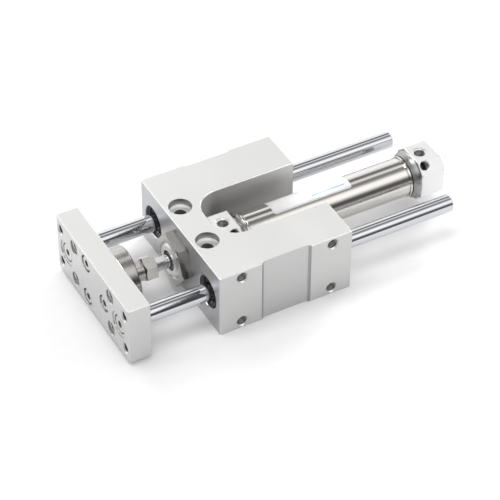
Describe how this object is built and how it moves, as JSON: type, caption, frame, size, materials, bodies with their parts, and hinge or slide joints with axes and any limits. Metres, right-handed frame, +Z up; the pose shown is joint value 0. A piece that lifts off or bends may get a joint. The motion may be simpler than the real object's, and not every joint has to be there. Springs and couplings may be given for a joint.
{
  "type": "guided pneumatic cylinder",
  "caption": "U-shaped guide unit with two guide rods and a front plate, driven by a round double-acting pneumatic cylinder seated in the slot of its body.",
  "frame": {"origin": "on the underside of the body, midway between the two cap-screw holes of the bridge", "axes": "+X towards the rear end of the cylinder, +Z up, +Y to the left arm; the plate extends towards -X"},
  "size_m": [0.1705, 0.0734, 0.0325],
  "materials": {
    "anodised_aluminium": "satin clear anodised, fine blasted grain",
    "machined_aluminium": "bright anodised, machined",
    "hard_chrome": "ground and polished",
    "stainless_tube": "drawn and polished",
    "turned_steel": "turned, satin",
    "nickel_steel": "nickel plated",
    "black_steel": "phosphated spring steel",
    "screw_steel": "zinc plated",
    "bearing_steel": "hardened and ground",
    "cage_plastic": "moulded",
    "seal_rubber": "matt",
    "wiper_polyurethane": "satin",
    "bush_bronze": "sintered",
    "magnet_ferrite": "ground ferrite"
  },
  "bodies": {
    "cylinder_body": {"guide_body": "anodised_aluminium", "mounting_nut": "nickel_steel", "front_cover": "machined_aluminium", "cylinder_tube": "stainless_tube", "rear_cover": "machined_aluminium", "front_o_ring": "seal_rubber", "rear_o_ring": "seal_rubber", "rod_bush": "bush_bronze", "rod_seal": "seal_rubber", "rod_wiper": "wiper_polyurethane", "front_bumper": "wiper_polyurethane", "rear_bumper": "wiper_polyurethane", "retaining_rings": "black_steel", "bearing_sleeve_front_left": "bearing_steel", "bearing_cage_front_left": "cage_plastic", "bearing_balls_front_left": "bearing_steel", "bearing_seals_front_left": "seal_rubber", "bearing_sleeve_front_right": "bearing_steel", "bearing_cage_front_right": "cage_plastic", "bearing_balls_front_right": "bearing_steel", "bearing_seals_front_right": "seal_rubber", "bearing_sleeve_rear_left": "bearing_steel", "bearing_cage_rear_left": "cage_plastic", "bearing_balls_rear_left": "bearing_steel", "bearing_seals_rear_left": "seal_rubber", "bearing_sleeve_rear_right": "bearing_steel", "bearing_cage_rear_right": "cage_plastic", "bearing_balls_rear_right": "bearing_steel", "bearing_seals_rear_right": "seal_rubber"},
    "carriage": {"front_plate": "anodised_aluminium", "guide_rod_left": "hard_chrome", "guide_rod_right": "hard_chrome", "guide_rod_screws": "screw_steel", "joint_screws": "screw_steel", "joint_housing": "turned_steel", "joint_thrust_pad": "turned_steel"},
    "piston_set": {"joint_stud": "turned_steel", "rod_lock_nut": "nickel_steel", "piston_rod": "hard_chrome", "piston_front": "machined_aluminium", "piston_rear": "machined_aluminium", "piston_magnet": "magnet_ferrite", "piston_seal_front": "seal_rubber", "piston_seal_rear": "seal_rubber", "piston_wear_ring": "cage_plastic"}
  },
  "joints": [
    {"name": "plate_slide", "type": "slide", "parent": "cylinder_body", "child": "carriage", "axis": [-1, 0, 0], "range_m": [0, 0.05]},
    {"name": "rod_turn", "type": "hinge", "parent": "carriage", "child": "piston_set", "pos_m": [-0.0383, 0, 0.0164], "axis": [1, 0, 0], "continuous": true}
  ]
}
